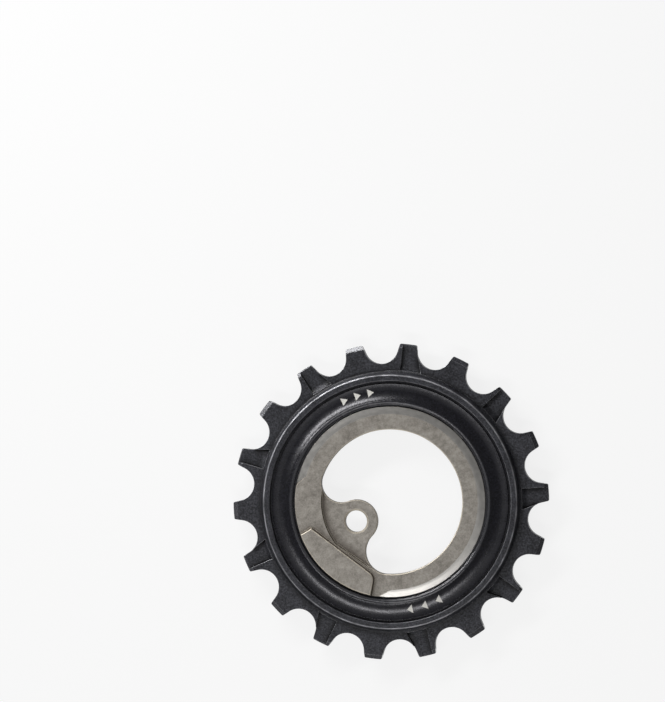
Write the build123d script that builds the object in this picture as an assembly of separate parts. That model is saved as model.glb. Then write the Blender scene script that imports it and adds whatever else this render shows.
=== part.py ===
from build123d import *
import os
from math import acos, cos, degrees, hypot, pi, radians, sin

# Jockey wheel for a bicycle rear derailleur. A toothed ring turns on a thin ball bearing round a
# hubless carrier, and the carrier is bolted to the derailleur cage through one offset hole.
# Millimetres. The wheel's axis is Z, the front faces +Z and the carrier's rear face lies on Z = 0.

# Chain
chain_pitch = 12.7
roller_diameter = 7.75

# Teeth
tooth_count = 18
first_tooth_angle = 3.5
roller_play = 0.1
gullet_radius = 4.1
tip_height = 0.83
flank_taper = 10.0
tip_corner_radius = 0.35
tip_bevel = 1.0
wide_tooth_thickness = 3.6
narrow_tooth_thickness = 2.0

# Milled recess on each face of a narrow tooth
recess_wall_offset = 1.3
recess_depth_below_root = 1.5
recess_nose_radius = 1.6
recess_base_angle = 6.8

# Bearing
bearing_bore_radius = 22.5
bearing_section = 5.0
bearing_width = 6.0
ball_radius = 1.5875
ball_count = 22
ball_play = 0.03
race_groove_radius = 1.65
race_shoulder_gap = 0.9
cage_wall = 1.5
cage_height = 2.9
cage_claw = 0.8
cage_pocket_play = 0.06
seal_seat_depth = 0.4
seal_seat_height = 0.5
seal_thickness = 0.45
seal_lip_play = 0.1

# Carrier
carrier_ring_width = 5.4
carrier_seat_wall = 3.9
edge_break = 0.2
carrier_rim_height = 1.2
flange_width = 1.0
flange_thickness = 0.6
rim_bevel_width = 1.8
rim_bevel_drop = 0.3
rim_bevel_start_inner = 271.0
rim_bevel_start_outer = 262.0
rim_bevel_end_inner = 163.0
rim_bevel_end_outer = 170.0

# Carrier tab with the bolt hole
bolt_direction = 209.76
bolt_inset = 7.79
bolt_hole_radius = 2.55
bolt_hole_chamfer = 0.4
tab_nose_radius = 5.1
tab_upper_fillet = 4.6
tab_lower_fillet = 5.3
tab_thickness = 2.5
tab_recess = 1.0
tab_recess_inset = 0.8
tab_recess_chord_inset = 1.55
tab_recess_direction = 235.0
tab_recess_foot = 0.6
rear_recess_foot = 0.8

# Carrier locating pad
pad_height = 0.8
pad_root = 0.3
pad_direction = 233.0
pad_width = 6.75
pad_edge_radius = 0.25
pad_upper_reach = 11.4
pad_upper_lean = 21.7
pad_lower_angle = 26.6
pad_corner_radius = 2.7
pad_draft = 30.0

# Snap ring
snap_ring_thickness = 0.4
snap_ring_depth = 0.5
snap_ring_lap = 0.8
snap_ring_split = 3.0
snap_ring_split_angle = 45.0
snap_ring_play = 0.05

# Toothed ring hub
hub_rear = 0.3
hub_wall = 1.0
ridge_height = 1.6
ridge_width = 1.45
hub_foot_spread = 0.65
hub_foot_radius = 0.5
ridge_edge_radius = 0.35
rear_shoulder_width = 1.2
plate_offset = 3.6

# Front cover
cover_lip_gap = 0.45
cover_lip_height = 1.65
cover_lip_width = 1.25
cover_lip_bead = 0.3
cover_dish_reach = 2.55
cover_dish_depth = 0.68
cover_rim_height = 0.8
cover_groove_width = 0.6
cover_groove_depth = 0.45
cover_groove_slope = 0.1
cover_ring_gap = 0.25
cover_seat_width = 1.55
cover_relief = 0.125
cover_relief_width = 1.0

# Sizes that follow from the ones above
overcut = 1.0
pitch_angle = 360 / tooth_count
pitch_radius = chain_pitch / (2 * sin(pi / tooth_count))
root_radius = pitch_radius - roller_diameter / 2 - roller_play
tip_radius = pitch_radius + tip_height
recess_radius = root_radius - recess_depth_below_root
recess_depth = (wide_tooth_thickness - narrow_tooth_thickness) / 2
bearing_rear = flange_thickness
bearing_front = bearing_rear + bearing_width
bearing_outer_radius = bearing_bore_radius + bearing_section
plate_middle = bearing_rear + plate_offset
plate_rear = plate_middle - wide_tooth_thickness / 2
plate_front = plate_middle + wide_tooth_thickness / 2
ball_height = bearing_rear + bearing_width / 2
ball_circle_radius = (bearing_bore_radius + bearing_outer_radius) / 2
inner_shoulder_radius = ball_circle_radius - race_shoulder_gap
outer_shoulder_radius = ball_circle_radius + race_shoulder_gap
seal_seat_radius = outer_shoulder_radius + seal_seat_depth
snap_ring_radius = bearing_bore_radius + snap_ring_lap
rear_shoulder_radius = bearing_outer_radius - rear_shoulder_width
cover_radius = bearing_outer_radius + hub_wall
hub_radius = cover_radius + ridge_width
ridge_top = bearing_front + ridge_height
carrier_height = bearing_front + carrier_rim_height
carrier_bore_radius = bearing_bore_radius - carrier_ring_width
bolt_distance = carrier_bore_radius - bolt_inset
tab_face = carrier_height - tab_recess
tab_rear = tab_face - tab_thickness
rear_recess_radius = bearing_bore_radius - carrier_seat_wall
pad_top = carrier_height + pad_height
pad_chord = bearing_bore_radius - pad_width


def polar(radius, angle):
    """The point at a radius and an angle in degrees."""
    return (radius * cos(radians(angle)), radius * sin(radians(angle)))


def turned(outline, arc=360.0):
    """A closed outline of radius and height, turned about the wheel's axis."""
    return revolve(Plane.XZ * outline, Axis.Z, revolution_arc=arc)


def section(points, rounded=()):
    """A closed outline through points, with the corners in rounded given a radius."""
    outline = make_face(Polyline(*points, close=True))
    for corner, radius in rounded:
        vertex = outline.vertices().sort_by_distance(corner)[0]
        outline = fillet(vertex, radius)
    return outline


def raised(outline, low, high, draft=0.0):
    """A flat outline raised from one height to another."""
    return Pos(0, 0, low) * extrude(outline, amount=high - low, dir=(0, 0, 1), taper=draft)


def gullet_outline():
    """One gap between teeth, along +X: a roller seat with straight flanks that open outwards."""
    opening = pitch_angle / 2 + flank_taper
    centre = root_radius + gullet_radius
    seat_x = centre - gullet_radius * sin(radians(opening))
    seat_y = gullet_radius * cos(radians(opening))
    outer_x = tip_radius + overcut
    outer_y = seat_y + (outer_x - seat_x) * sin(radians(opening)) / cos(radians(opening))
    seat = ThreePointArc((seat_x, -seat_y), (root_radius, 0), (seat_x, seat_y))
    flanks = Polyline((seat_x, seat_y), (outer_x, outer_y), (outer_x, -outer_y), (seat_x, -seat_y))
    return make_face(seat.edges() + flanks.edges())


def tooth_outline():
    """The wheel's outer shape seen from the front."""
    outline = Circle(tip_radius)
    gullet = gullet_outline()
    for place in PolarLocations(0, tooth_count, first_tooth_angle + pitch_angle / 2):
        outline -= place * gullet
    corners = [v for v in outline.vertices() if hypot(v.X, v.Y) > tip_radius - tip_bevel]
    return fillet(corners, tip_corner_radius)


def recess_outline():
    """The milled recess of a narrow tooth along +X, with one side open to the flank."""
    opening = pitch_angle / 2 + flank_taper
    centre = root_radius + gullet_radius
    middle_x, middle_y = polar(centre, -pitch_angle / 2)
    flank_x = middle_x - gullet_radius * sin(radians(flank_taper))
    flank_y = middle_y + gullet_radius * cos(radians(flank_taper))
    inner_x = recess_radius - overcut
    outer_x = tip_radius + overcut
    base_x, base_y = polar(recess_radius, -recess_base_angle)
    slope = (flank_y - base_y) / (flank_x - base_x)
    inner_y = base_y - slope * (base_x - inner_x)
    outer_y = flank_y - (outer_x - flank_x) * sin(radians(opening))
    points = [
        (inner_x, recess_wall_offset),
        (outer_x, recess_wall_offset),
        (outer_x, outer_y),
        (flank_x, flank_y),
        (inner_x, inner_y),
    ]
    return section(points)


def recess_ring():
    """The ring that a recess is cut to, with a concave ramp from its floor up to the face."""
    floor = plate_front - recess_depth
    ramp = (2 * recess_nose_radius * recess_depth - recess_depth**2) ** 0.5
    ramp_middle = (2 * recess_nose_radius * recess_depth / 4 - (recess_depth / 4) ** 2) ** 0.5
    foot = recess_radius + ramp
    outer = tip_radius + overcut
    top = plate_front + overcut
    curve = ThreePointArc(
        (recess_radius, plate_front),
        (foot - ramp_middle, floor + recess_depth / 4),
        (foot, floor),
    )
    rest = Polyline(
        (foot, floor), (outer, floor), (outer, top), (recess_radius, top), (recess_radius, plate_front)
    )
    return turned(make_face(curve.edges() + rest.edges()))


def make_toothed_ring():
    """Narrow and wide teeth on a hub that holds the bearing, with a ridge round the cover."""
    foot = hub_radius + hub_foot_spread
    foot_rear = (foot, plate_rear)
    foot_front = (foot, plate_front)
    ridge_rear = (hub_radius, hub_rear)
    ridge_front = (hub_radius, ridge_top)
    ridge_inner = (cover_radius, ridge_top)
    points = [
        (rear_shoulder_radius, hub_rear),
        ridge_rear,
        foot_rear,
        (tip_radius - tip_bevel, plate_rear),
        (tip_radius, plate_rear + tip_bevel),
        (tip_radius, plate_front - tip_bevel),
        (tip_radius - tip_bevel, plate_front),
        foot_front,
        ridge_front,
        ridge_inner,
        (cover_radius, bearing_front),
        (bearing_outer_radius, bearing_front),
        (bearing_outer_radius, bearing_rear),
        (rear_shoulder_radius, bearing_rear),
    ]
    rounded = [
        (ridge_rear, ridge_edge_radius),
        (foot_rear, hub_foot_radius),
        (foot_front, hub_foot_radius),
        (ridge_front, ridge_edge_radius),
        (ridge_inner, ridge_edge_radius),
    ]
    blank = turned(section(points, rounded))
    ring = blank & raised(tooth_outline(), hub_rear - overcut, ridge_top + overcut)
    pocket = raised(recess_outline(), plate_front - recess_depth - overcut, plate_front + overcut)
    front = recess_ring()
    for index, place in enumerate(PolarLocations(0, tooth_count, first_tooth_angle)):
        if index % 2 == 0:
            cut = front & (place * pocket)
            ring -= cut
            ring -= mirror(cut, Plane.XY.offset(plate_middle))
    return ring


def make_front_cover():
    """The dished ring pressed into the hub over the bearing, with a rounded lip at the carrier."""
    lip_inner = bearing_bore_radius + cover_lip_gap
    lip_outer = lip_inner + cover_lip_width
    lip_middle = (lip_inner + lip_outer) / 2
    lip_top = bearing_front + cover_lip_height
    lip_edge = lip_top - cover_lip_bead
    rim_top = bearing_front + cover_rim_height
    rim_radius = cover_radius - cover_groove_width
    groove_floor = rim_top - cover_groove_depth
    dish_radius = lip_outer + cover_dish_reach
    dish_floor = lip_edge - cover_dish_depth
    underside = bearing_front + snap_ring_thickness + cover_ring_gap
    seat_inner = bearing_outer_radius - cover_seat_width
    relief = bearing_front + cover_relief
    lip = ThreePointArc((lip_inner, lip_edge), (lip_middle, lip_top), (lip_outer, lip_edge))
    dish = ThreePointArc((lip_outer, lip_edge), (dish_radius, dish_floor), (rim_radius, rim_top))
    back = Polyline(
        (rim_radius, rim_top),
        (rim_radius + cover_groove_slope, groove_floor),
        (cover_radius, groove_floor),
        (cover_radius, bearing_front),
        (seat_inner, bearing_front),
        (seat_inner, relief),
        (seat_inner - cover_relief_width, relief),
        (lip_outer, underside),
        (lip_inner, underside),
        (lip_inner, lip_edge),
    )
    return turned(make_face(lip.edges() + dish.edges() + back.edges()))


def make_outer_race():
    """The outer ring of the bearing, with a ball groove and a seat for each seal."""
    points = [
        (seal_seat_radius, bearing_rear),
        (bearing_outer_radius, bearing_rear),
        (bearing_outer_radius, bearing_front),
        (seal_seat_radius, bearing_front),
        (seal_seat_radius, bearing_front - seal_seat_height),
        (outer_shoulder_radius, bearing_front - seal_seat_height),
        (outer_shoulder_radius, bearing_rear + seal_seat_height),
        (seal_seat_radius, bearing_rear + seal_seat_height),
    ]
    shift = race_groove_radius - ball_radius - ball_play
    groove = Pos(ball_circle_radius - shift, ball_height) * Circle(race_groove_radius)
    return turned(section(points) - groove)


def make_inner_race():
    """The inner ring of the bearing, on the carrier."""
    points = [
        (bearing_bore_radius, bearing_rear),
        (inner_shoulder_radius, bearing_rear),
        (inner_shoulder_radius, bearing_front),
        (bearing_bore_radius, bearing_front),
    ]
    shift = race_groove_radius - ball_radius - ball_play
    groove = Pos(ball_circle_radius + shift, ball_height) * Circle(race_groove_radius)
    return turned(section(points) - groove)


def make_seal(low):
    """A seal pressed into the outer race, clear of the inner race."""
    inner = inner_shoulder_radius + seal_lip_play
    high = low + seal_thickness
    return turned(section([(inner, low), (seal_seat_radius, low), (seal_seat_radius, high), (inner, high)]))


def ball_places():
    """Where each ball's centre lies."""
    return [Pos(0, 0, ball_height) * place for place in PolarLocations(ball_circle_radius, ball_count)]


def make_ball_cage():
    """The crown cage: a ring with a round pocket for each ball, open towards the front."""
    inner = ball_circle_radius - cage_wall / 2
    outer = ball_circle_radius + cage_wall / 2
    high = ball_height + cage_claw
    low = high - cage_height
    cage = turned(section([(inner, low), (outer, low), (outer, high), (inner, high)]))
    for place in ball_places():
        cage -= place * Sphere(ball_radius + cage_pocket_play)
    return cage


def carrier_opening():
    """The hole through the carrier: a round bore with the tab's nose reaching into it."""
    bolt = Vector(*polar(bolt_distance, bolt_direction))
    arcs = []
    ends = []
    for radius, side in ((tab_upper_fillet, -1), (tab_lower_fillet, 1)):
        reach = carrier_bore_radius - radius
        span = tab_nose_radius + radius
        swing = acos((bolt_distance**2 + reach**2 - span**2) / (2 * bolt_distance * reach))
        angle = bolt_direction + side * degrees(swing)
        centre = Vector(*polar(reach, angle))
        on_bore = Vector(*polar(carrier_bore_radius, angle))
        on_nose = bolt + (centre - bolt).normalized() * tab_nose_radius
        to_middle = ((on_bore - centre) + (on_nose - centre)).normalized()
        arcs.append(ThreePointArc(on_bore, centre + to_middle * radius, on_nose))
        ends.append((on_bore, on_nose))
    nose_tip = bolt * (1 - tab_nose_radius / bolt_distance)
    nose = ThreePointArc(ends[0][1], nose_tip, ends[1][1])
    far_side = Vector(*polar(carrier_bore_radius, bolt_direction + 180))
    bore = ThreePointArc(ends[0][0], far_side, ends[1][0])
    return make_face(arcs[0].edges() + nose.edges() + arcs[1].edges() + bore.edges())


def half_plane(direction, distance):
    """A wide outline that lies beyond a chord, at a distance from the axis in a direction."""
    span = 4 * bearing_outer_radius
    return Rot(0, 0, direction) * (Pos(distance + span / 2, 0) * Rectangle(span, span))


def tab_recess_outline(inset=0.0):
    """The area in which the tab lies below the carrier's face."""
    chord = carrier_bore_radius - tab_recess_chord_inset - inset
    return Circle(carrier_bore_radius - tab_recess_inset - inset) - half_plane(tab_recess_direction, chord)


def tab_recess_cut():
    """The space above the tab, with a rounded foot along its wall."""
    space = raised(tab_recess_outline(), tab_face, carrier_height + overcut)
    return fillet(space.faces().sort_by(Axis.Z)[0].edges(), tab_recess_foot)


def rim_bevel_cut():
    """The bevel round the carrier's rim, left out beside the pad."""
    inner = bearing_bore_radius - rim_bevel_width
    outer = bearing_bore_radius + overcut
    drop = rim_bevel_drop * (1 + overcut / rim_bevel_width)
    cone = turned(section([(inner, carrier_height), (outer, carrier_height), (outer, carrier_height - drop)]))
    reach = 2 * outer
    lower_inner = Vector(*polar(inner, rim_bevel_start_inner))
    lower_outer = Vector(*polar(bearing_bore_radius, rim_bevel_start_outer))
    upper_inner = Vector(*polar(inner, rim_bevel_end_inner))
    upper_outer = Vector(*polar(bearing_bore_radius, rim_bevel_end_outer))
    lower_way = (lower_outer - lower_inner).normalized() * reach
    upper_way = (upper_outer - upper_inner).normalized() * reach
    keep = section([lower_inner, lower_inner + lower_way, upper_inner + upper_way, upper_inner])
    return cone - raised(keep, carrier_height - overcut, carrier_height + overcut)


def edge_break_cut(face):
    """The broken edge round the opening where it meets a face at this height."""
    return raised(carrier_opening(), face - edge_break, face, -45)


def carrier_pad():
    """The raised pad that locates the carrier against the edge of the cage."""
    reach = bearing_outer_radius - pad_chord
    lean = reach * sin(radians(pad_upper_lean)) / cos(radians(pad_upper_lean))
    lower = sin(radians(pad_lower_angle)) / cos(radians(pad_lower_angle))
    lower_corner = (pad_chord, pad_chord * lower)
    points = [
        (pad_chord, -pad_upper_reach),
        (bearing_outer_radius, -pad_upper_reach - lean),
        (bearing_outer_radius, bearing_outer_radius * lower),
        lower_corner,
    ]
    outline = Rot(0, 0, pad_direction) * section(points, [(lower_corner, pad_corner_radius)])
    pad = raised(outline, carrier_height - pad_root, pad_top, pad_draft)
    pad &= Cylinder(bearing_bore_radius, 3 * pad_top)
    return fillet(pad.faces().sort_by(Axis.Z)[-1].edges(), pad_edge_radius)


def make_carrier():
    """The hubless carrier: bearing seat, rear flange, bolt tab and locating pad, hollow behind the tab."""
    flange = bearing_bore_radius + flange_width
    groove = bearing_bore_radius - snap_ring_depth
    groove_top = bearing_front + snap_ring_thickness
    rear_corner = (rear_recess_radius, tab_rear)
    points = [
        (0, tab_rear),
        rear_corner,
        (rear_recess_radius, 0),
        (flange, 0),
        (flange, flange_thickness),
        (bearing_bore_radius, flange_thickness),
        (bearing_bore_radius, bearing_front),
        (groove, bearing_front),
        (groove, groove_top),
        (bearing_bore_radius, groove_top),
        (bearing_bore_radius, carrier_height),
        (0, carrier_height),
    ]
    body = turned(section(points, [(rear_corner, rear_recess_foot)]))
    body -= raised(carrier_opening(), -overcut, carrier_height + overcut)
    body -= rim_bevel_cut()
    body -= tab_recess_cut()
    body -= edge_break_cut(carrier_height)
    body -= edge_break_cut(tab_face) & raised(tab_recess_outline(tab_recess_foot), tab_rear, tab_face)
    body += carrier_pad()
    bolt_x, bolt_y = polar(bolt_distance, bolt_direction)
    hole = Cylinder(bolt_hole_radius, 3 * carrier_height)
    edge = Cone(bolt_hole_radius, bolt_hole_radius + bolt_hole_chamfer, bolt_hole_chamfer)
    body -= Pos(bolt_x, bolt_y, 0) * hole
    body -= Pos(bolt_x, bolt_y, tab_face - bolt_hole_chamfer / 2) * edge
    return body


def make_snap_ring():
    """The split ring that keeps the bearing on the carrier."""
    inner = bearing_bore_radius - snap_ring_depth + snap_ring_play
    high = bearing_front + snap_ring_thickness
    outer = snap_ring_radius
    ring = turned(section([(inner, bearing_front), (outer, bearing_front), (outer, high), (inner, high)]))
    split = Pos(outer, 0, 0) * Box(outer, snap_ring_split, 3 * high)
    return ring - Rot(0, 0, snap_ring_split_angle) * split


def write(name, solid):
    """Write one named piece to its own file."""
    solid.label = name
    export_step(solid, os.path.join("parts", name + ".step"))


def main():
    os.makedirs("parts", exist_ok=True)
    write("toothed_ring", make_toothed_ring())
    write("front_cover", make_front_cover())
    write("outer_race", make_outer_race())
    write("inner_race", make_inner_race())
    write("rear_seal", make_seal(bearing_rear + seal_seat_height - seal_thickness))
    write("front_seal", make_seal(bearing_front - seal_seat_height))
    write("ball_cage", make_ball_cage())
    for number, place in enumerate(ball_places(), start=1):
        write(f"ball_{number:02d}", place * Sphere(ball_radius))
    write("carrier", make_carrier())
    write("carrier_snap_ring", make_snap_ring())


main()
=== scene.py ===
import math

import bpy
from mathutils import Matrix, Quaternion, Vector


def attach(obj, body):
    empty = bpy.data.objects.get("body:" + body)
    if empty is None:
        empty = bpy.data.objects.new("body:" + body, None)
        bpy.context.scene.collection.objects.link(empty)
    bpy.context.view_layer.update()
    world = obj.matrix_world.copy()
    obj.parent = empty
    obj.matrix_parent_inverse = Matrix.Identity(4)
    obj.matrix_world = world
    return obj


# Looks of a derailleur jockey wheel. Metres. The wheel's axis is Z and its front faces +Z.

MM = 0.001

# View: the camera's angles in degrees, the wheel's middle in picture pixels, and a pixel's size on it
VIEW_FROM_RIGHT = 4.5
VIEW_FROM_ABOVE = 2.2
VIEW_DISTANCE = 1.2
IMAGE_WIDTH = 665
IMAGE_HEIGHT = 702
WHEEL_X = 391.06
WHEEL_Y = 501.4
PIXEL = 0.2366 * MM
TOOTH_PLANE = 4.2 * MM
SENSOR = 36.0
CAMERA_NEAR = 0.01
CAMERA_FAR = 20

# Room: its brightness low down and overhead, and the heights between which it changes
WORLD_LOW = 0.17
WORLD_TOP = 0.11
LOW_UP_TO = 0.2
TOP_FROM = 0.98

# Floor
FLOOR_SIZE = 6
FLOOR_DROP = 0.02 * MM
FLOOR_PAINT = (0.7, 0.7, 0.7, 1)
FLOOR_WHITE_SHARE = 0.84
WHITE = (1, 1, 1, 1)

# Bands round the axis: radius of the middle, reach of the full band and reach of its end
# The ridge's crests mark where the toothed ring's highlights are painted.
RIDGE_OUTER_CREST = (29.9 * MM, 0.1 * MM, 0.18 * MM)
RIDGE_INNER_CREST = (28.62 * MM, 0.05 * MM, 0.12 * MM)
# The cover's lip band places a painted highlight.
COVER_LIP = (23.4 * MM, 0.22 * MM, 0.36 * MM)
COVER_LAND = (26.95 * MM, 0.35 * MM, 0.75 * MM)

# Steps by radius or height: where a look is absent and where it is full
RIDGE_TOP = (7.7 * MM, 7.85 * MM)
TOOTH_TIPS = (36.3 * MM, 36.5 * MM)
COVER_TURNING = (24.9 * MM, 24.2 * MM)
CARRIER_RIM = (20.68 * MM, 20.74 * MM)
BELOW_CARRIER_FACE = (7.795 * MM, 7.785 * MM)
PAD_TOP = (8.36 * MM, 8.42 * MM)

# Faint tool mark on the carrier's face: how it grows and ends along X, and how it starts along Y
MARK_GROWS = (1.4 * MM, 2.85 * MM)
MARK_ENDS = (2.98 * MM, 2.9 * MM)
MARK_STARTS = (-14 * MM, -15 * MM)
MARK_DEPTH = 0.22

# Slopes, as the upward part of a face's normal: a face at 45 degrees, and the pad's rounded rim, where
# highlights are painted
EVEN_SLOPE = 0.707
PAD_RIM_SLOPE = (0.995, 0.96)

# Range that a noise mostly keeps to
NOISE_RANGE = (0.3, 0.7)

# Shading: pitch of the cover's fine rings, samples, widest angle shaded smooth, and weld distance
TURNING_PITCH = 0.28 * MM
BEVEL_SAMPLES = 6
CORNER_SAMPLES = 6
SMOOTH_ANGLE = 35.0
WELD = 0.001 * MM

# Printed arrows. The dish's section is given by three points, as radius and height in millimetres.
# Each row of arrows has its inner and outer radius in millimetres and, for each arrow, the degrees
# of its tip and of its base.
DISH_INNER = (24.2, 7.95)
DISH_MIDDLE = (26.75, 7.27)
DISH_OUTER = (27.9, 7.4)
UPPER_ARROWS = (25.15, 27.1, ((98.4, 101.7), (105.4, 108.6), (112.6, 115.9)))
LOWER_ARROWS = (24.7, 26.75, ((279.0, 281.9), (286.8, 289.8), (294.7, 297.8)))
ARROW_STEPS = 6
ARROW_LIFT = 0.015

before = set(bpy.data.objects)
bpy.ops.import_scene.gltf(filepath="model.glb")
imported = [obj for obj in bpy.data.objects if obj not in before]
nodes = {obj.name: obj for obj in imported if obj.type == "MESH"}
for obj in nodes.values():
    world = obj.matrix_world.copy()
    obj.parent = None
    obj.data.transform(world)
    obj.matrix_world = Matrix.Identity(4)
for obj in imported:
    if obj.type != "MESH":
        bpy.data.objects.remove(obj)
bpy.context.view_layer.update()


class Graph:
    """A material's node tree, with short calls for the nodes used here."""

    def __init__(self, name):
        self.material = bpy.data.materials.new(name)
        self.material.use_nodes = True
        self.tree = self.material.node_tree
        self.shader = self.tree.nodes["Principled BSDF"]
        coordinates = self.tree.nodes.new("ShaderNodeTexCoord")
        self.place = coordinates.outputs["Object"]

    def wire(self, value, socket):
        """Links another node's output to a socket, or sets a plain value on it."""
        if isinstance(value, bpy.types.NodeSocket):
            self.tree.links.new(value, socket)
        else:
            socket.default_value = value

    def math(self, operation, first, second=0.0):
        """One step of arithmetic on one or two values."""
        node = self.tree.nodes.new("ShaderNodeMath")
        node.operation = operation
        self.wire(first, node.inputs[0])
        self.wire(second, node.inputs[1])
        return node.outputs[0]

    def times(self, value, share):
        return self.math("MULTIPLY", value, share)

    def plus(self, first, second):
        return self.math("ADD", first, second)

    def minus(self, first, second):
        return self.math("SUBTRACT", first, second)

    def larger(self, first, second):
        return self.math("MAXIMUM", first, second)

    def mixed(self, *parts):
        """A sum of values, each times its share."""
        total = 0.0
        for value, share in parts:
            total = self.plus(total, self.times(value, share))
        return total

    def noise(self, scale, detail, roughness, place=None):
        """Cloudy noise between none and one, finer where the scale is larger."""
        node = self.tree.nodes.new("ShaderNodeTexNoise")
        node.inputs["Scale"].default_value = scale
        node.inputs["Detail"].default_value = detail
        node.inputs["Roughness"].default_value = roughness
        self.wire(place or self.place, node.inputs["Vector"])
        return node.outputs["Fac"]

    def spread(self, value, low, high, to_low=0.0, to_high=1.0):
        """Carries the range from low to high over to another, and holds it at both ends."""
        node = self.tree.nodes.new("ShaderNodeMapRange")
        self.wire(value, node.inputs["Value"])
        node.inputs["From Min"].default_value = low
        node.inputs["From Max"].default_value = high
        node.inputs["To Min"].default_value = to_low
        node.inputs["To Max"].default_value = to_high
        return node.outputs["Result"]

    def vary(self, noise, to_low, to_high):
        """Carries the usual range of a noise over to another."""
        return self.spread(noise, *NOISE_RANGE, to_low, to_high)

    def between(self, share, at_none, at_one):
        """A straight change from one number to another as a share grows."""
        return self.spread(share, 0.0, 1.0, at_none, at_one)

    def blend(self, share, first, second):
        """A colour between two others."""
        node = self.tree.nodes.new("ShaderNodeMix")
        node.data_type = "RGBA"
        self.wire(share, node.inputs["Factor"])
        self.wire(first, node.inputs[6])
        self.wire(second, node.inputs[7])
        return node.outputs[2]

    def split(self):
        """X, Y and Z of the place."""
        node = self.tree.nodes.new("ShaderNodeSeparateXYZ")
        self.wire(self.place, node.inputs[0])
        return node.outputs

    def radius(self):
        """Distance of the place from the wheel's axis."""
        x, y, _ = self.split()
        return self.math("SQRT", self.plus(self.times(x, x), self.times(y, y)))

    def bevel(self, radius):
        """The surface's normal as if its sharp edges were rounded."""
        node = self.tree.nodes.new("ShaderNodeBevel")
        node.samples = BEVEL_SAMPLES
        node.inputs["Radius"].default_value = radius
        return node.outputs["Normal"]

    def edges(self, rounded):
        """Where a rounded normal turns away from the face's own: one on a sharp edge, none on a face."""
        face = self.tree.nodes.new("ShaderNodeNewGeometry")
        node = self.tree.nodes.new("ShaderNodeVectorMath")
        node.operation = "DOT_PRODUCT"
        self.wire(rounded, node.inputs[0])
        self.wire(face.outputs["Normal"], node.inputs[1])
        return self.spread(node.outputs["Value"], low=0.985, high=0.9)

    def facing(self):
        """One on a surface that faces straight to the front or back, none on an upright wall."""
        face = self.tree.nodes.new("ShaderNodeNewGeometry")
        parts = self.tree.nodes.new("ShaderNodeSeparateXYZ")
        self.wire(face.outputs["Normal"], parts.inputs[0])
        return self.math("ABSOLUTE", parts.outputs[2])

    def steepness(self, none_at, full_at):
        """How far a surface turns from facing the front: none up to one slope, one from another."""
        return self.spread(self.facing(), none_at, full_at)

    def corners(self, reach):
        """How much a place is hemmed in by walls nearer than the reach: none in the open."""
        node = self.tree.nodes.new("ShaderNodeAmbientOcclusion")
        node.samples = CORNER_SAMPLES
        node.only_local = True
        node.inputs["Distance"].default_value = reach
        return self.minus(1.0, node.outputs["AO"])

    def near(self, value, middle, inner, outer):
        """One where a value lies within an inner reach of the middle, none beyond the outer reach."""
        away = self.math("ABSOLUTE", self.minus(value, middle))
        return self.spread(away, outer, inner)

    def bump(self, height, distance, strength=1.0, normal=None):
        """The surface's normal with a fine relief."""
        node = self.tree.nodes.new("ShaderNodeBump")
        node.inputs["Distance"].default_value = distance
        node.inputs["Strength"].default_value = strength
        self.wire(height, node.inputs["Height"])
        if normal is not None:
            self.wire(normal, node.inputs["Normal"])
        return node.outputs["Normal"]

    def surface(self, **values):
        """Sets the shader's sockets, with an underscore for each space in a socket's name."""
        for name, value in values.items():
            self.wire(value, self.shader.inputs[name.replace("_", " ")])


def blasted_black():
    """Matte black anodised toothed ring: blasted grain, painted corner shade, painted edge highlights.
    """
    dark = (0.013, 0.0132, 0.0155, 1)
    light = (0.061, 0.062, 0.073, 1)
    # Near-black painted shade for corners and hollows.
    painted_corner_shade = (0.001, 0.001, 0.0015, 1)
    # Pale grey of the painted highlights on the ridge's crests and on sharp edges.
    highlight_grey = (0.45, 0.45, 0.475, 1)
    graph = Graph("blasted_black")
    grain = graph.noise(scale=2300, detail=3, roughness=0.7)
    cloud = graph.noise(scale=260, detail=3, roughness=0.6)
    _, _, z = graph.split()
    radius = graph.radius()
    rounded = graph.bevel(radius=0.14 * MM)
    # Painted highlights: paler, more metallic bands in patches on the ridge's crests and on sharp edges.
    outer_crest = graph.near(radius, *RIDGE_OUTER_CREST)
    inner_crest = graph.times(graph.near(radius, *RIDGE_INNER_CREST), share=0.35)
    crest = graph.times(graph.larger(outer_crest, inner_crest), graph.spread(z, *RIDGE_TOP))
    tips = graph.times(graph.spread(radius, *TOOTH_TIPS), graph.steepness(none_at=0.9, full_at=0.8))
    patches = graph.spread(cloud, low=0.35, high=0.6, to_low=0.3, to_high=1.0)
    painted_highlight = graph.times(graph.larger(crest, graph.edges(rounded)), patches)
    # Painted shade: the colour darkens towards near-black where walls hem the place in.
    corners = graph.corners(reach=1.6 * MM)
    corner_shade = graph.spread(corners, low=0.04, high=0.27, to_low=0.0, to_high=0.92)
    tone = graph.spread(graph.mixed((grain, 0.8), (cloud, 0.2)), low=0.4, high=0.64)
    colour = graph.blend(corner_shade, graph.blend(tone, dark, light), painted_corner_shade)
    relief = graph.times(grain, graph.between(tips, 1.0, 0.0))
    graph.surface(
        Base_Color=graph.blend(graph.times(painted_highlight, share=0.8), colour, highlight_grey),
        Metallic=graph.between(painted_highlight, 0.2, 0.7),
        Roughness=graph.minus(graph.vary(cloud, 0.38, 0.46), graph.times(tips, share=0.22)),
        Specular_IOR_Level=0.3,
        Normal=graph.bump(relief, distance=0.09 * MM, normal=rounded),
    )
    return graph.material


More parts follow.
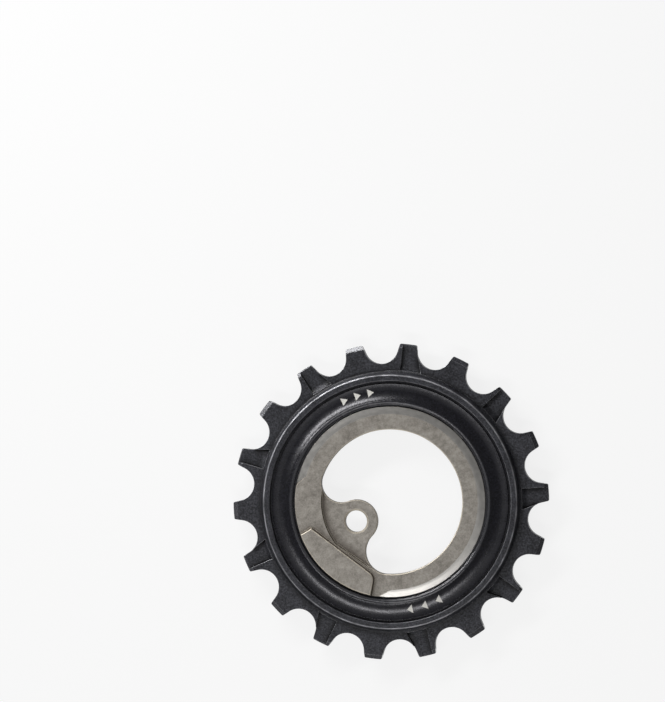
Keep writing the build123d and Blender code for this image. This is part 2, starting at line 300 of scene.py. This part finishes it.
def satin_black():
    """Smoother satin black of the dished cover, with fine turned rings and a painted highlight by its
    lip.
    """
    dark = (0.002, 0.002, 0.003, 1)
    light = (0.012, 0.012, 0.017, 1)
    # Paler grey of the painted lip highlight and of the outer land.
    lip_highlight_and_land_grey = (0.036, 0.036, 0.04, 1)
    graph = Graph("satin_black")
    grain = graph.noise(scale=2600, detail=3, roughness=0.65)
    cloud = graph.noise(scale=420, detail=3, roughness=0.6)
    radius = graph.radius()
    turning = graph.math("SINE", graph.times(radius, 2 * math.pi / TURNING_PITCH))
    turning = graph.times(turning, graph.spread(radius, *COVER_TURNING, to_low=0.0, to_high=0.12))
    # Painted highlight: a paler band on the lip's top all round; the outer land is a paler tone.
    lip_highlight = graph.near(radius, *COVER_LIP)
    land = graph.times(graph.near(radius, *COVER_LAND), share=0.3)
    colour = graph.blend(graph.spread(grain, low=0.4, high=0.62), dark, light)
    relief = graph.plus(grain, turning)
    graph.surface(
        Base_Color=graph.blend(graph.larger(lip_highlight, land), colour, lip_highlight_and_land_grey),
        Roughness=graph.vary(cloud, 0.24, 0.3),
        Specular_IOR_Level=0.6,
        Specular_Tint=(0.97, 0.96, 1.0, 1),
        Normal=graph.bump(relief, distance=0.014 * MM, normal=graph.bevel(radius=0.08 * MM)),
    )
    return graph.material


def blasted_grey():
    """Warm grey blasted carrier, brighter on its bevel, with brown painted shade and painted edge
    highlights.
    """
    dark = (0.185, 0.168, 0.146, 1)
    light = (0.42, 0.392, 0.352, 1)
    bare_bevel = (0.54, 0.53, 0.51, 1)
    # Dark brown painted shade for upright walls and steps.
    painted_wall_shade = (0.1, 0.082, 0.064, 1)
    # Dark brown painted shade for corners and the feet of steps.
    painted_corner_shade = (0.08, 0.063, 0.047, 1)
    # Beige of the painted highlights on bevels, the pad's rim and sharp edges.
    edge_highlight_beige = (0.66, 0.6, 0.5, 1)
    graph = Graph("blasted_grey")
    grain = graph.noise(scale=3000, detail=3, roughness=0.6)
    fleck = graph.noise(scale=900, detail=3, roughness=0.55)
    cloud = graph.noise(scale=220, detail=3, roughness=0.6)
    x, y, z = graph.split()
    radius = graph.radius()
    rounded = graph.bevel(radius=0.2 * MM)
    facing = graph.facing()
    corners = graph.corners(reach=2.4 * MM)
    on_bevel = graph.times(graph.spread(radius, *CARRIER_RIM), graph.spread(z, *BELOW_CARRIER_FACE))
    tone = graph.mixed((grain, 0.35), (fleck, 0.3), (cloud, 0.35))
    tone = graph.spread(tone, low=0.36, high=0.64)
    cut_mark = graph.times(graph.spread(x, *MARK_GROWS), graph.spread(x, *MARK_ENDS))
    cut_mark = graph.times(cut_mark, graph.spread(y, *MARK_STARTS, to_low=0.0, to_high=MARK_DEPTH))
    # Painted shade: upright walls and steps turn dark brown.
    walls = graph.times(graph.steepness(none_at=0.93, full_at=0.6), share=0.75)
    # Painted shade: the colour darkens where walls hem the place in.
    corner_shade = graph.spread(corners, low=0.03, high=0.2, to_low=0.0, to_high=0.85)
    # Painted highlights: beige on 45 degree bevels in the open, on the pad's rim and on sharp edges.
    open_place = graph.spread(corners, low=0.3, high=0.2)
    even_bevels = graph.times(graph.near(facing, EVEN_SLOPE, inner=0.08, outer=0.16), open_place)
    pad_rim = graph.times(graph.spread(facing, *PAD_RIM_SLOPE), graph.spread(z, *PAD_TOP))
    painted_edge_highlight = graph.larger(graph.larger(even_bevels, pad_rim), graph.edges(rounded))
    colour = graph.blend(graph.minus(tone, cut_mark), dark, light)
    colour = graph.blend(graph.times(on_bevel, share=0.7), colour, bare_bevel)
    colour = graph.blend(walls, colour, painted_wall_shade)
    colour = graph.blend(corner_shade, colour, painted_corner_shade)
    colour = graph.blend(graph.times(painted_edge_highlight, share=0.85), colour, edge_highlight_beige)
    relief = graph.times(grain, graph.between(on_bevel, 1.0, 0.3))
    graph.surface(
        Base_Color=colour,
        Metallic=graph.between(on_bevel, 0.45, 0.85),
        Roughness=graph.minus(graph.vary(fleck, 0.54, 0.62), graph.times(on_bevel, share=0.22)),
        Normal=graph.bump(relief, distance=0.02 * MM, strength=0.8, normal=rounded),
    )
    return graph.material


def turned_steel(name, colour, roughness):
    """Ground steel with fine rings round the axis."""
    stretch = 30.0
    shade = 0.8
    rougher = roughness + 0.12
    graph = Graph(name)
    rings = graph.tree.nodes.new("ShaderNodeCombineXYZ")
    _, _, z = graph.split()
    graph.wire(graph.times(graph.radius(), stretch), rings.inputs[0])
    graph.wire(graph.times(z, stretch), rings.inputs[1])
    lines = graph.noise(scale=900, detail=3, roughness=0.7, place=rings.outputs[0])
    dark = tuple(shade * part for part in colour) + (1,)
    light = tuple(colour) + (1,)
    graph.surface(
        Base_Color=graph.blend(graph.spread(lines, low=0.35, high=0.65), dark, light),
        Metallic=1.0,
        Roughness=graph.vary(lines, roughness, rougher),
        Normal=graph.bump(lines, distance=0.002 * MM, strength=0.5),
    )
    return graph.material


def polished_steel():
    """Bright steel of the balls."""
    dark = (0.72, 0.72, 0.73, 1)
    light = (0.82, 0.82, 0.83, 1)
    graph = Graph("polished_steel")
    haze = graph.noise(scale=800, detail=2, roughness=0.5)
    graph.surface(
        Base_Color=graph.blend(haze, dark, light),
        Metallic=1.0,
        Roughness=graph.vary(haze, 0.06, 0.12),
    )
    return graph.material


def moulded(name, dark, light, roughness, grain_scale):
    """Moulded rubber or plastic with a fine mould grain."""
    rougher = roughness + 0.1
    graph = Graph(name)
    grain = graph.noise(grain_scale, detail=3, roughness=0.6)
    graph.surface(
        Base_Color=graph.blend(graph.vary(grain, 0.0, 1.0), dark, light),
        Roughness=graph.vary(grain, roughness, rougher),
        Normal=graph.bump(grain, distance=0.01 * MM, strength=0.5),
    )
    return graph.material


def print_white():
    """Off-white pad print of the arrows."""
    dark = (0.62, 0.6, 0.55, 1)
    light = (0.78, 0.77, 0.73, 1)
    graph = Graph("print_white")
    grain = graph.noise(scale=4000, detail=2, roughness=0.6)
    graph.surface(
        Base_Color=graph.blend(graph.vary(grain, 0.0, 1.0), dark, light),
        Roughness=graph.vary(grain, 0.45, 0.6),
    )
    return graph.material


def weld_points(obj):
    """Joins points that lie on each other, so that the shading runs on."""
    weld = obj.modifiers.new("weld", "WELD")
    weld.merge_threshold = WELD


def dress(node, material):
    """Gives a node its material and smooth shading that stops at its real edges."""
    obj = nodes[node]
    obj.data.materials.clear()
    obj.data.materials.append(material)
    obj.data.shade_smooth()
    weld_points(obj)
    split = obj.modifiers.new("edges", "EDGE_SPLIT")
    split.split_angle = math.radians(SMOOTH_ANGLE)
    normals = obj.modifiers.new("normals", "WEIGHTED_NORMAL")
    normals.keep_sharp = True


def arc_through(first, second, third):
    """Centre and radius of the circle through three points."""
    (ax, ay), (bx, by), (cx, cy) = first, second, third
    scale = 2 * (ax * (by - cy) + bx * (cy - ay) + cx * (ay - by))
    a_square = ax * ax + ay * ay
    b_square = bx * bx + by * by
    c_square = cx * cx + cy * cy
    centre_x = (a_square * (by - cy) + b_square * (cy - ay) + c_square * (ay - by)) / scale
    centre_y = (a_square * (cx - bx) + b_square * (ax - cx) + c_square * (bx - ax)) / scale
    return centre_x, centre_y, math.hypot(ax - centre_x, ay - centre_y)


def arrow(name, inner, outer, tip_angle, base_angle, material):
    """One printed triangle on the dish, with its tip pointing clockwise."""
    arc_radius, arc_height, reach = arc_through(DISH_INNER, DISH_MIDDLE, DISH_OUTER)
    points = []
    faces = []
    middle = (inner + outer) / 2
    for row in range(ARROW_STEPS + 1):
        share = row / ARROW_STEPS
        angle = math.radians(tip_angle + (base_angle - tip_angle) * share)
        half = (outer - inner) / 2 * share
        for column in range(ARROW_STEPS + 1):
            radius = middle - half + 2 * half * column / ARROW_STEPS
            height = arc_height - math.sqrt(reach**2 - (radius - arc_radius) ** 2) + ARROW_LIFT
            points.append((radius * math.cos(angle) * MM, radius * math.sin(angle) * MM, height * MM))
    wide = ARROW_STEPS + 1
    for row in range(ARROW_STEPS):
        for column in range(ARROW_STEPS):
            corner = row * wide + column
            faces.append((corner, corner + 1, corner + 1 + wide, corner + wide))
    mesh = bpy.data.meshes.new(name)
    mesh.from_pydata(points, [], faces)
    mesh.update()
    mesh.shade_smooth()
    mesh.materials.append(material)
    obj = bpy.data.objects.new(name, mesh)
    bpy.context.scene.collection.objects.link(obj)
    weld_points(obj)
    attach(obj, "wheel")


def add_arrows():
    """Two rows of plain triangles that show which way the wheel turns."""
    material = print_white()
    number = 0
    for inner, outer, spans in (UPPER_ARROWS, LOWER_ARROWS):
        for tip, base in spans:
            number += 1
            arrow(f"arrow_{number}", inner, outer, tip, base, material)


def make_floor():
    """A pale floor that shows white, also in the metal, and keeps the wheel's soft shadow."""
    bpy.ops.mesh.primitive_plane_add(size=FLOOR_SIZE, location=(0, 0, -FLOOR_DROP))
    floor = bpy.context.object
    floor.name = "floor"
    material = bpy.data.materials.new("floor")
    material.use_nodes = True
    tree = material.node_tree
    tree.nodes.clear()
    paint = tree.nodes.new("ShaderNodeBsdfDiffuse")
    paint.inputs["Color"].default_value = FLOOR_PAINT
    glow = tree.nodes.new("ShaderNodeEmission")
    glow.inputs["Color"].default_value = WHITE
    rays = tree.nodes.new("ShaderNodeLightPath")
    seen = rays.outputs["Is Camera Ray"]
    for kind in ("Is Glossy Ray", "Is Transmission Ray"):
        either = tree.nodes.new("ShaderNodeMath")
        either.operation = "MAXIMUM"
        tree.links.new(seen, either.inputs[0])
        tree.links.new(rays.outputs[kind], either.inputs[1])
        seen = either.outputs[0]
    share = tree.nodes.new("ShaderNodeMath")
    share.operation = "MULTIPLY"
    share.inputs[1].default_value = FLOOR_WHITE_SHARE
    mix = tree.nodes.new("ShaderNodeMixShader")
    out = tree.nodes.new("ShaderNodeOutputMaterial")
    tree.links.new(seen, share.inputs[0])
    tree.links.new(share.outputs[0], mix.inputs[0])
    tree.links.new(paint.outputs[0], mix.inputs[1])
    tree.links.new(glow.outputs[0], mix.inputs[2])
    tree.links.new(mix.outputs[0], out.inputs["Surface"])
    floor.data.materials.append(material)


def make_world():
    """A pale room that is dimmer overhead."""
    world = bpy.data.worlds.new("studio")
    bpy.context.scene.world = world
    world.use_nodes = True
    tree = world.node_tree
    background = tree.nodes["Background"]
    background.inputs["Color"].default_value = WHITE
    place = tree.nodes.new("ShaderNodeTexCoord")
    parts = tree.nodes.new("ShaderNodeSeparateXYZ")
    tree.links.new(place.outputs["Generated"], parts.inputs[0])
    level = tree.nodes.new("ShaderNodeMapRange")
    level.inputs["From Min"].default_value = LOW_UP_TO
    level.inputs["From Max"].default_value = TOP_FROM
    level.inputs["To Min"].default_value = WORLD_LOW
    level.inputs["To Max"].default_value = WORLD_TOP
    tree.links.new(parts.outputs["Z"], level.inputs["Value"])
    tree.links.new(level.outputs["Result"], background.inputs["Strength"])


def strip_lamp(name, distance, tilt, direction, length, width, power):
    """A soft strip that faces the wheel, tilted from its axis and long in the way round it."""
    data = bpy.data.lights.new(name, "AREA")
    data.shape = "RECTANGLE"
    data.size = length
    data.size_y = width
    data.energy = power
    obj = bpy.data.objects.new(name, data)
    obj.visible_camera = False
    bpy.context.scene.collection.objects.link(obj)
    across = Vector((-math.sin(math.radians(direction)), math.cos(math.radians(direction)), 0))
    away = Quaternion(across, math.radians(tilt)) @ Vector((0, 0, 1))
    obj.location = away * distance
    obj.rotation_mode = "QUATERNION"
    obj.rotation_quaternion = Matrix((across, away.cross(across), away)).transposed().to_quaternion()


def make_lamps():
    """Soft strips from the upper left and from below, each with a low one for the edges."""
    strip_lamp("upper_left", distance=0.3, tilt=52, direction=127, length=0.22, width=0.04, power=0.56)
    strip_lamp(
        "low_upper_left", distance=0.45, tilt=88.5, direction=126, length=0.44, width=0.04, power=2.6
    )
    strip_lamp("below", distance=0.5, tilt=25, direction=257, length=0.36, width=0.05, power=0.75)
    strip_lamp("low_below", distance=0.45, tilt=72, direction=262, length=0.3, width=0.06, power=0.35)


def make_camera():
    """Nearly straight on, with the wheel's middle where the photograph has it."""
    data = bpy.data.cameras.new("camera")
    camera = bpy.data.objects.new("camera", data)
    bpy.context.scene.collection.objects.link(camera)
    bpy.context.scene.camera = camera
    pixels = VIEW_DISTANCE / PIXEL
    data.sensor_width = SENSOR
    data.lens = SENSOR * pixels / max(IMAGE_WIDTH, IMAGE_HEIGHT)
    data.clip_start = CAMERA_NEAR
    data.clip_end = CAMERA_FAR
    middle = Vector((0, 0, TOOTH_PLANE))
    back = Vector((math.tan(math.radians(VIEW_FROM_RIGHT)), math.tan(math.radians(VIEW_FROM_ABOVE)), 1))
    back.normalize()
    camera.location = middle + back * VIEW_DISTANCE
    right = Vector((0, 1, 0)).cross(back).normalized()
    up = back.cross(right)
    yaw = math.atan((WHEEL_X - IMAGE_WIDTH / 2) / pixels)
    pitch = math.atan((WHEEL_Y - IMAGE_HEIGHT / 2) / pixels)
    turn = Quaternion(up, yaw) @ Quaternion(right, pitch)
    level = Matrix((right, up, back)).transposed().to_quaternion()
    camera.rotation_mode = "QUATERNION"
    camera.rotation_quaternion = turn @ level


race_steel = turned_steel("race_steel", colour=(0.62, 0.62, 0.63), roughness=0.18)
spring_steel = turned_steel("spring_steel", colour=(0.07, 0.07, 0.075), roughness=0.4)
ball_steel = polished_steel()
rubber = moulded(
    "seal_rubber",
    dark=(0.012, 0.012, 0.013, 1),
    light=(0.03, 0.03, 0.032, 1),
    roughness=0.55,
    grain_scale=2500,
)
nylon = moulded(
    "cage_nylon",
    dark=(0.55, 0.5, 0.38, 1),
    light=(0.68, 0.63, 0.5, 1),
    roughness=0.4,
    grain_scale=1800,
)
dress("toothed_ring", blasted_black())
dress("front_cover", satin_black())
dress("carrier", blasted_grey())
dress("outer_race", race_steel)
dress("inner_race", race_steel)
dress("carrier_snap_ring", spring_steel)
dress("rear_seal", rubber)
dress("front_seal", rubber)
dress("ball_cage", nylon)
for node in nodes:
    if node.startswith("ball_") and node != "ball_cage":
        dress(node, ball_steel)
add_arrows()
make_floor()
make_world()
make_lamps()
make_camera()
bpy.context.scene.view_settings.view_transform = "Standard"
